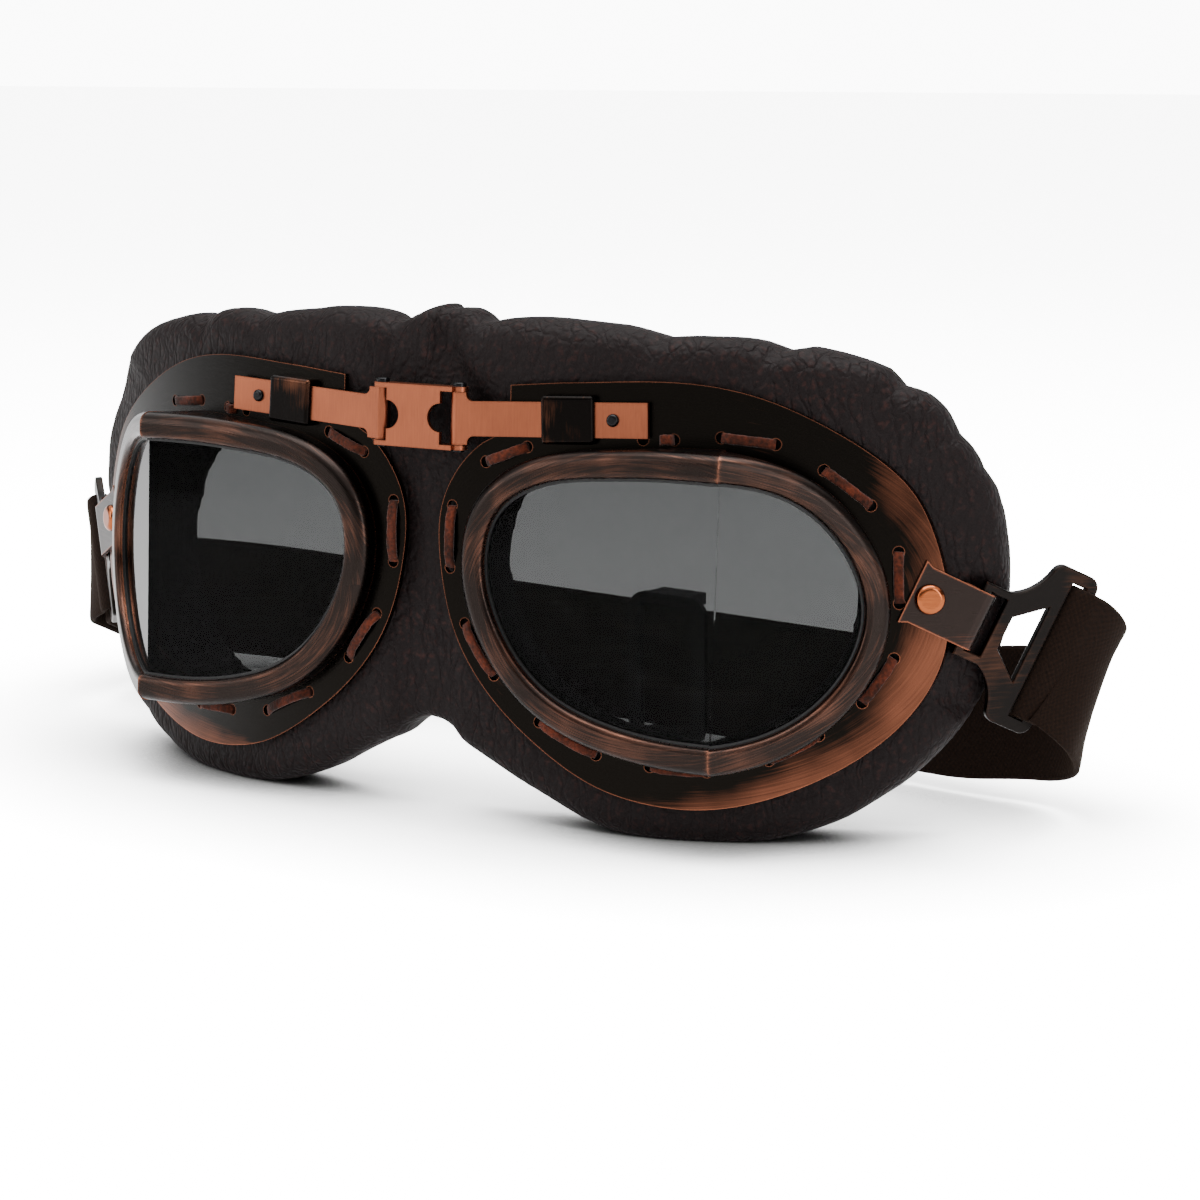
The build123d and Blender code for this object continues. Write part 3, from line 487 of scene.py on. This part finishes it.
cover = cover_mesh()
crease(cover)
for side, sign in (("right", 1), ("left", -1)):
    cushion = cut_between(cover, side + "_cushion", *sorted((sign * nose_seam, sign * past_all)))
    nose = cut_between(cover, side + "_nose_cover", *sorted((0, sign * nose_seam)))
    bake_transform(nose)
    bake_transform(cushion)
    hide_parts(side + "_face_pad")
    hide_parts("nose_pad")

# Lacing: suede thong stitches over the frame plates, repeated by one node tree. The plates' front lies
# plate_set behind the bridge, bent to plate_bow round plate_centre; the stitches' ends are shares of the
# plate's width and height. A stitch rises by its bow in the middle and by 1 + lace_dip of it at its ends,
# so that they dip into the holes.
plate_bow, plate_centre, plate_set = 160.0, 7.0, 4.2
plate_inner, plate_width, plate_top, plate_height = 3.6, 92.6, 8.4, 78.4
lace_width, lace_thick, lace_bow, lace_ragged = 1.9 * mm, 0.95 * mm, 0.75 * mm, 0.35 * mm
lace_points, lace_dip = 15, -1.7
stitch_end_shares = (
    ((0.108, -0.208), (0.2, -0.166)), ((0.032, -0.32), (0.03, -0.47)), ((0.068, -0.602), (0.138, -0.72)),
    ((0.242, -0.822), (0.364, -0.888)), ((0.474, -0.905), (0.585, -0.908)), ((0.7, -0.872), (0.788, -0.808)),
    ((0.862, -0.726), (0.913, -0.62)), ((0.918, -0.49), (0.913, -0.37)), ((0.862, -0.264), (0.778, -0.186)),
    ((0.69, -0.13), (0.59, -0.12)), ((0.5, -0.13), (0.472, -0.133)))


def on_plate(share_x, share_z, sign):
    """A lacing hole's middle on the plate's front face, and the direction the plate faces there."""
    x = plate_inner + plate_width * share_x
    z = plate_top + plate_height * share_z
    depth = plate_set + plate_bow - (plate_bow**2 - (x - plate_centre) ** 2) ** 0.5
    heading = asin((x - plate_centre) / plate_bow)
    point = from_face(x, depth, z)
    outward = face @ Vector((sin(heading), -cos(heading), 0))
    return Vector((sign * point.x, point.y, point.z)) * mm, Vector((sign * outward.x, outward.y, outward.z))


def thong(tree, given):
    """One stitch of unit length along X, bowed up in the middle, its ends dipped into the holes."""
    line = add(tree, "GeometryNodeCurvePrimitiveLine", {"Start": (-0.5, 0, 0), "End": (0.5, 0, 0)})
    steps = add(tree, "GeometryNodeResampleCurve", {"Curve": line.outputs[0], "Count": lace_points})
    place = add(tree, "GeometryNodeInputPosition").outputs[0]
    share = add(tree, "ShaderNodeSeparateXYZ", {0: place}).outputs["X"]
    double = add(tree, "ShaderNodeMath", {0: share, 1: 2}, operation="MULTIPLY").outputs[0]
    square = add(tree, "ShaderNodeMath", {0: double, 1: double}, operation="MULTIPLY").outputs[0]
    fourth = add(tree, "ShaderNodeMath", {0: square, 1: square}, operation="MULTIPLY").outputs[0]
    dipped = add(tree, "ShaderNodeMath", {0: fourth, 1: lace_dip, 2: 1},
                 operation="MULTIPLY_ADD").outputs[0]
    lift = add(tree, "ShaderNodeMath", {0: dipped, 1: given["Bow"]}, operation="MULTIPLY").outputs[0]
    bowed = add(tree, "GeometryNodeSetPosition", {
        "Geometry": steps.outputs[0], "Offset": add(tree, "ShaderNodeCombineXYZ", {"Z": lift}).outputs[0]})
    level = add(tree, "GeometryNodeSetCurveNormal", {"Curve": bowed.outputs[0]}, mode="Z_UP")
    outline = add(tree, "GeometryNodeCurvePrimitiveQuadrilateral", {0: given["Width"], 1: given["Thickness"]})
    corner = add(tree, "ShaderNodeMath", {0: given["Thickness"], 1: 0.4}, operation="MULTIPLY").outputs[0]
    rounded = add(tree, "GeometryNodeFilletCurve", {"Curve": outline.outputs[0], "Radius": corner,
                                                    "Count": 3}, mode="POLY")
    return add(tree, "GeometryNodeCurveToMesh", {
        "Curve": level.outputs[0], "Profile Curve": rounded.outputs[0], "Fill Caps": True}).outputs[0]


def attribute(tree, name, kind):
    """Value that the points carry under this name."""
    return add(tree, "GeometryNodeInputNamedAttribute", {"Name": name}, data_type=kind).outputs[0]


def lying_along(tree):
    """Rotation that lays a stitch along its point's run on the face there, rolled a little at random."""
    facing = add(tree, "FunctionNodeAlignRotationToVector",
                 {"Vector": attribute(tree, "outward", "FLOAT_VECTOR")}, axis="Z")
    lying = add(tree, "FunctionNodeAlignRotationToVector",
                {"Rotation": facing.outputs[0], "Vector": attribute(tree, "run", "FLOAT_VECTOR")},
                axis="X", pivot_axis="Z")
    twist = add(tree, "FunctionNodeRandomValue", {2: -0.3, 3: 0.3, "Seed": 11}, data_type="FLOAT").outputs[1]
    return add(tree, "FunctionNodeRotateRotation", {
        "Rotation": lying.outputs[0],
        "Rotate By": add(tree, "ShaderNodeCombineXYZ", {"X": twist}).outputs[0]},
        rotation_space="LOCAL").outputs[0]


def stitching_tree():
    """Thong stitches on points: each runs along its point's run, bowed up from the face it lies on."""
    tree = bpy.data.node_groups.new("thong_stitches", "GeometryNodeTree")
    sockets = {}
    for name, kind in (("Points", "Geometry"), ("Width", "Float"), ("Thickness", "Float"), ("Bow", "Float"),
                       ("Ragged", "Float"), ("Material", "Material")):
        socket = tree.interface.new_socket(name, in_out="INPUT", socket_type="NodeSocket" + kind)
        sockets[name] = socket.identifier
    tree.interface.new_socket("Geometry", in_out="OUTPUT", socket_type="NodeSocketGeometry")
    given = add(tree, "NodeGroupInput").outputs
    span = attribute(tree, "span", "FLOAT")
    size = add(tree, "ShaderNodeCombineXYZ", {"X": span, "Y": 1, "Z": 1}).outputs[0]
    placed = add(tree, "GeometryNodeInstanceOnPoints", {
        "Points": given["Points"], "Instance": thong(tree, given), "Rotation": lying_along(tree),
        "Scale": size})
    real = add(tree, "GeometryNodeRealizeInstances", {0: placed.outputs[0]})
    fray = add(tree, "ShaderNodeTexNoise", {"Scale": 900, "Detail": 1}).outputs[1]
    centred = add(tree, "ShaderNodeVectorMath", {0: fray, 1: (0.5, 0.5, 0.5)},
                  operation="SUBTRACT").outputs[0]
    shift = add(tree, "ShaderNodeVectorMath", {0: centred, "Scale": given["Ragged"]},
                operation="SCALE").outputs[0]
    frayed = add(tree, "GeometryNodeSetPosition", {"Geometry": real.outputs[0], "Offset": shift})
    coated = add(tree, "GeometryNodeSetMaterial", {"Geometry": frayed.outputs[0],
                                                   "Material": given["Material"]})
    tree.links.new(coated.outputs[0], add(tree, "NodeGroupOutput").inputs[0])
    return tree, sockets


stitching, stitch_inputs = stitching_tree()


def stitches(name, ends, finish, width, thickness, bow, ragged):
    """Stitches between pairs of points, each pair with the direction its face looks."""
    mesh = bpy.data.meshes.new(name)
    mesh.from_pydata([(one + other) / 2 for one, other, _ in ends], [], [])
    headings = [(other - one).normalized() for one, other, _ in ends]
    for title, kind, key, values in (
            ("run", "FLOAT_VECTOR", "vector", [c for heading in headings for c in heading]),
            ("outward", "FLOAT_VECTOR", "vector", [c for _, _, outward in ends for c in outward]),
            ("span", "FLOAT", "value", [(other - one).length for one, other, _ in ends])):
        mesh.attributes.new(title, kind, "POINT").data.foreach_set(key, values)
    item = bpy.data.objects.new(name + "_points", mesh)
    bpy.context.scene.collection.objects.link(item)
    sewn = item.modifiers.new("sewn", "NODES")
    sewn.node_group = stitching
    for socket, value in (("Width", width), ("Thickness", thickness), ("Bow", bow), ("Ragged", ragged),
                          ("Material", finish)):
        sewn[stitch_inputs[socket]] = value
    return as_object(name, applied(item), finish)


for side, sign in (("right", 1), ("left", -1)):
    ends = []
    for one, other in stitch_end_shares:
        (start, facing), (end, facing_there) = on_plate(*one, sign), on_plate(*other, sign)
        ends.append((start, end, (facing + facing_there).normalized()))
    lacing = stitches(side + "_thong", ends, suede, lace_width, lace_thick, lace_bow, lace_ragged)
    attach(lacing, side + "_frame")
    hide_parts(side + "_lacing")

# Head strap: one ribbon. From its sewn end it turns round the right ring's bar, runs behind the
# goggles, turns round the left ring's bar and comes back outside itself to the slider's rod.
strap_width, strap_thick = 26.5, 1.4
strap_middle, strap_slant, strap_height = 80.0, radians(9.0), 16.0
strap_run_right, strap_run_left = 80.0, 84.0
bar_along, leg_offset, fold_reach, strap_leg, hem_leg = 19.8, 2.2, 3.1, 0.6, 3.0
ply = 1.7
slider_x, slider_hem, rod_offset = 15.0, 12.0, 1.9

# Bends near the rings: across, depth behind the bridge, height, then heading, dip and tilt in degrees.
right_near_bend, right_far_bend = (114.8, 54.0, 26.5, 105, 30, 14), (99.0, 65.4, 18.0, 172, 6, 3)
left_near_bend, left_far_bend = (117.7, 54.5, 29.5, 84, 22, 6), (114.0, 86.0, 18.0, 130, 8, 2)
right_heading, left_heading = 171, 189
bend_pull, ring_pull, bend_steps = 0.38, 0.2, 14
fold_steps, run_steps, loop_steps, loop_run_steps, hem_steps = 12, 20, 16, 24, 6
right_cut, left_cut, loop_cut = 34.0, -26.0, -40.0
edge_round_share, edge_thin_share, edge_steps = 0.8, 0.86, 6

# The right ring as the solids have it: its bar stands along the hinge, ring_out from the fold.
ring_pin = [joint for joint in frame["joints"] if joint["name"] == "right_ring_hinge"][0]
ring_up = Vector(ring_pin["axis"])
ring_out = Vector((0.594163, 0.681679, -0.426948))
bar_middle = Vector(ring_pin["pos_m"]) / mm + ring_out * bar_along
run_along = Vector((-cos(strap_slant), sin(strap_slant), 0))
run_face = Vector((sin(strap_slant), cos(strap_slant), 0))


class Station:
    """Cross-section of the strap: its middle, the way up its width, the way it faces, its heading."""

    def __init__(self, middle, across, along):
        self.middle = middle
        self.along = along.normalized()
        self.across = (across - self.along * across.dot(self.along)).normalized()
        self.outward = self.along.cross(self.across)

    def moved(self, out):
        return Station(self.middle + self.outward * out, self.across, self.along)

    def mirrored(self):
        """The same place on the left; it keeps its outward side and is walked the other way."""
        flip = Vector((-1, 1, 1))
        return Station(self.middle * flip, self.across * flip, self.along * flip * -1)


def strap_place(x, depth, z, heading, dip=0.0, tilt=0.0):
    """Cross-section at a place beside the goggles, headed level, dipped and leaned out by degrees."""
    flat = Vector((cos(radians(heading)), sin(radians(heading)), 0))
    along = flat * cos(radians(dip)) - Vector((0, 0, sin(radians(dip))))
    outward = Vector((flat.y, -flat.x, 0))
    across = Vector((0, 0, cos(radians(tilt)))) + outward * sin(radians(tilt))
    return Station(Vector((x, depth - reach, z)), across, along)


def smooth(one, other, leaving=bend_pull):
    """Cross-sections on the smooth bend between two key ones; leaving is the pull at the first."""
    length = (other.middle - one.middle).length
    knots = (one.middle, one.middle + one.along * (length * leaving),
             other.middle - other.along * (length * bend_pull), other.middle)
    found = []
    for step in range(bend_steps + 1):
        t = step / bend_steps
        r = 1 - t
        middle = knots[0] * r**3 + knots[1] * (3 * r * r * t) + knots[2] * (3 * r * t * t) + knots[3] * t**3
        along = ((knots[1] - knots[0]) * (r * r) + (knots[2] - knots[1]) * (2 * r * t)
                 + (knots[3] - knots[2]) * (t * t))
        found.append(Station(middle, one.across * r + other.across * t, along))
    return found


def half_turn(centre, across, towards, outward, radius, depth):
    """Half-round fold that passes behind its centre, from the inner side to the outer."""
    found = []
    for step in range(fold_steps + 1):
        angle = pi * step / fold_steps
        middle = centre - outward * (radius * cos(angle)) - towards * (depth * sin(angle))
        along = outward * (radius * sin(angle)) - towards * (depth * cos(angle))
        found.append(Station(middle, across, along))
    return found


def back_depth(x):
    """Depth of the strap's straight run behind the goggles."""
    return strap_middle - x * tan(strap_slant)


def back_run(start, end, out, steps):
    """Cross-sections along the straight run, moved outwards by out."""
    found = []
    for step in range(steps + 1):
        x = start + (end - start) * step / steps
        middle = Vector((x, back_depth(x) - reach, strap_height)) + run_face * out
        found.append(Station(middle, Vector((0, 0, 1)), run_along))
    return found


at_bar = Station(bar_middle, ring_up, ring_out)
off_bar = Station(bar_middle + ring_out * strap_leg, ring_up, ring_out)
right_keys = [off_bar, strap_place(*right_near_bend), strap_place(*right_far_bend),
              strap_place(strap_run_right, back_depth(strap_run_right), strap_height, right_heading)]
left_keys = [off_bar, strap_place(*left_near_bend), strap_place(*left_far_bend),
             strap_place(strap_run_left, back_depth(-strap_run_left), strap_height, left_heading)]


def bends(keys, first, last):
    """The three bends from the ring to the back run, moved outwards by first at the ring to last."""
    spans = [smooth(one, other, ring_pull if one is keys[0] else bend_pull)
             for one, other in zip(keys, keys[1:])]
    total = len(spans) * bend_steps
    return [[place.moved(first + (last - first) * (number * bend_steps + step) / total)
             for step, place in enumerate(span)] for number, span in enumerate(spans)]


turn_at_bar = half_turn(bar_middle, ring_up, ring_out, at_bar.outward, leg_offset, fold_reach)
hem_end = Station(bar_middle + ring_out * hem_leg, ring_up, ring_out)
hem = [Station(place.middle, place.across, place.along * -1)
       for place in (hem_end.moved(-leg_offset), at_bar.moved(-leg_offset))]
right_outer = bends(right_keys, leg_offset, 0)
left_inner = bends(left_keys, -leg_offset, 0)
left_outer = bends(left_keys, leg_offset, ply)


def on_left(places):
    """Mirrored, and walked from the last to the first."""
    return [place.mirrored() for place in reversed(places)]


rod_middle = Vector((slider_x, back_depth(slider_x) - reach, strap_height)) + run_face * (ply + rod_offset)
runs = {
    "strap_right_turn": [turn_at_bar + [off_bar.moved(leg_offset)], hem],
    "strap_right_bend": [right_outer[0]],
    "strap_right_side": [right_outer[1]],
    "strap_right_back": [right_outer[2] + back_run(strap_run_right, right_cut, 0, run_steps)[1:]],
    "strap_middle": [back_run(right_cut, left_cut, 0, run_steps)],
    "strap_left_back": [back_run(left_cut, -strap_run_left, 0, run_steps) + on_left(left_inner[2])[1:]],
    "strap_left_side": [on_left(left_inner[1]), on_left(left_outer[1])],
    "strap_left_bend": [on_left(left_inner[0]), on_left(left_outer[0])],
    "strap_left_turn": [on_left([off_bar.moved(-leg_offset)] + turn_at_bar + [off_bar.moved(leg_offset)])],
    "strap_loop_back": [back_run(loop_cut, -strap_run_left, ply, loop_steps) + on_left(left_outer[2])[1:]],
    "strap_loop_run": [back_run(slider_x, loop_cut, ply, loop_run_steps)],
    "strap_rod_turn": [
        half_turn(rod_middle, Vector((0, 0, 1)), run_along, run_face, rod_offset, rod_offset),
        back_run(slider_x, slider_x - slider_hem, ply + 2 * rod_offset, hem_steps)],
}


def selvedge(half_width, half_thick):
    """Outline of the elastic's cross-section: a flat band, a little thinner at its rounded edges."""
    rows = []
    edge_round = half_thick * edge_round_share
    for step in range(edge_steps + 1):
        angle = -pi / 2 + pi * step / edge_steps
        rows.append((half_width - edge_round + edge_round * cos(angle),
                     half_thick * edge_thin_share * sin(angle)))
    inner = [(half_width * share, half_thick) for share in (0.88, 0.6, 0.2, -0.2, -0.6, -0.88)]
    far = [(-x, -y) for x, y in rows]
    return rows + inner + far + [(-x, -y) for x, y in inner]


def ribbon(name, lengths):
    """Closed ribbon mesh through its runs of stations, with the weave's own coordinates in metres."""
    outline = selvedge(strap_width / 2, strap_thick / 2)
    count = len(outline)
    around = [0]
    for one, other in zip(outline, outline[1:] + outline[:1]):
        around.append(around[-1] + ((one[0] - other[0]) ** 2 + (one[1] - other[1]) ** 2) ** 0.5)
    bm = bmesh.new()
    weave = bm.loops.layers.uv.new("weave")
    for places in lengths:
        along = 0
        rings, marks = [], []
        for number, place in enumerate(places):
            if number:
                along += (place.middle - places[number - 1].middle).length
            marks.append(along)
            rings.append([bm.verts.new((place.middle + place.across * x + place.outward * y) * mm)
                          for x, y in outline])
        for number in range(len(rings) - 1):
            for step in range(count):
                after = (step + 1) % count
                panel = bm.faces.new((rings[number][step], rings[number + 1][step],
                                      rings[number + 1][after], rings[number][after]))
                for loop, u, v in zip(panel.loops, (0, 1, 1, 0), (0, 0, 1, 1)):
                    loop[weave].uv = (marks[number + u] * mm, around[step + v] * mm)
        for ring in (rings[0], rings[-1]):
            for edge in bm.faces.new(ring).edges:
                edge.smooth = False
    bmesh.ops.recalc_face_normals(bm, faces=bm.faces)
    mesh = bpy.data.meshes.new(name)
    bm.to_mesh(mesh)
    bm.free()
    made = as_object(name, mesh, elastic)
    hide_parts("head_strap")
    return made


def bent(piece, near, far, start, end):
    """Bakes a strap piece's placement into its mesh."""
    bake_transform(piece)


strap = {name: ribbon(name, lengths) for name, lengths in runs.items()}
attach(strap["strap_right_turn"], "right_ring")
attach(strap["strap_middle"], "link")
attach(strap["strap_left_turn"], "left_ring")
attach(strap["strap_rod_turn"], "slider")
for name, near, far in (
        ("strap_right_bend", "right_ring", "right_frame"), ("strap_right_side", "right_frame", "right_arm"),
        ("strap_right_back", "right_arm", "link"), ("strap_left_back", "link", "left_arm"),
        ("strap_left_side", "left_arm", "left_frame"), ("strap_left_bend", "left_frame", "left_ring"),
        ("strap_loop_back", "link", "left_arm"), ("strap_loop_run", "slider", "link")):
    places = runs[name][0]
    bent(strap[name], near, far, places[0], places[-1])

# Sewn rows across the folded end behind the slider, hem_rows millimetres from its fold.
hem_rows, hem_count, hem_margin, hem_pitch, hem_length = (4, 6), 12, 1.6, 2.0, 1.4
thread_width, thread_thick, thread_bow = 0.35 * mm, 0.3 * mm, 0.12 * mm
hem_out = ply + 2 * rod_offset + strap_thick / 2
hem_face = back_run(slider_x, slider_x - slider_hem, hem_out, round(slider_hem))
hem_ends = []
for row in hem_rows:
    middle = hem_face[row].middle
    for step in range(hem_count):
        low = hem_margin + step * hem_pitch - strap_width / 2
        ends = [(middle + Vector((0, 0, z))) * mm for z in (low, low + hem_length)]
        hem_ends.append((*ends, run_face))
hem_stitches = stitches("hem_stitching", hem_ends, elastic, thread_width, thread_thick, thread_bow, 0)
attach(hem_stitches, "slider")

# Floor: staged, not part of the goggles. The camera sees it brighter than it lights them, and its colour is
# darkened near them by ambient occlusion: a painted contact shadow.
floor_half = 9
floor_corners = [(x * floor_half, y * floor_half, 0) for x, y in ((-1, -1), (1, -1), (1, 1), (-1, 1))]
floor_mesh = bpy.data.meshes.new("floor")
floor_mesh.from_pydata(floor_corners, [], [(0, 1, 2, 3)])
pale = bpy.data.materials.new("pale_floor")
pale.use_nodes = True
seen = add(pale.node_tree, "ShaderNodeLightPath").outputs["Is Camera Ray"]
open_sky = add(pale.node_tree, "ShaderNodeAmbientOcclusion", {"Distance": painted_shadow_reach},
               samples=8).outputs["AO"]
# Painted shadow: the floor's colour for the camera darkens where ambient occlusion finds the goggles near.
painted_shadow = add(pale.node_tree, "ShaderNodeMath", {0: open_sky, 1: painted_shadow_depth}, operation="POWER").outputs[0]
blown = add(pale.node_tree, "ShaderNodeMath", {0: painted_shadow, 1: floor_gain}, operation="MULTIPLY").outputs[0]
shown = add(pale.node_tree, "ShaderNodeMix", {"Factor": seen, 6: linear("#F7F7F7"), 7: blown},
            data_type="RGBA").outputs[2]
pale.node_tree.links.new(shown, pale.node_tree.nodes["Principled BSDF"].inputs["Base Color"])
pale.node_tree.nodes["Principled BSDF"].inputs["Roughness"].default_value = 0.7
floor = as_object("floor", floor_mesh, pale, smooth=False)

bpy.context.view_layer.update()
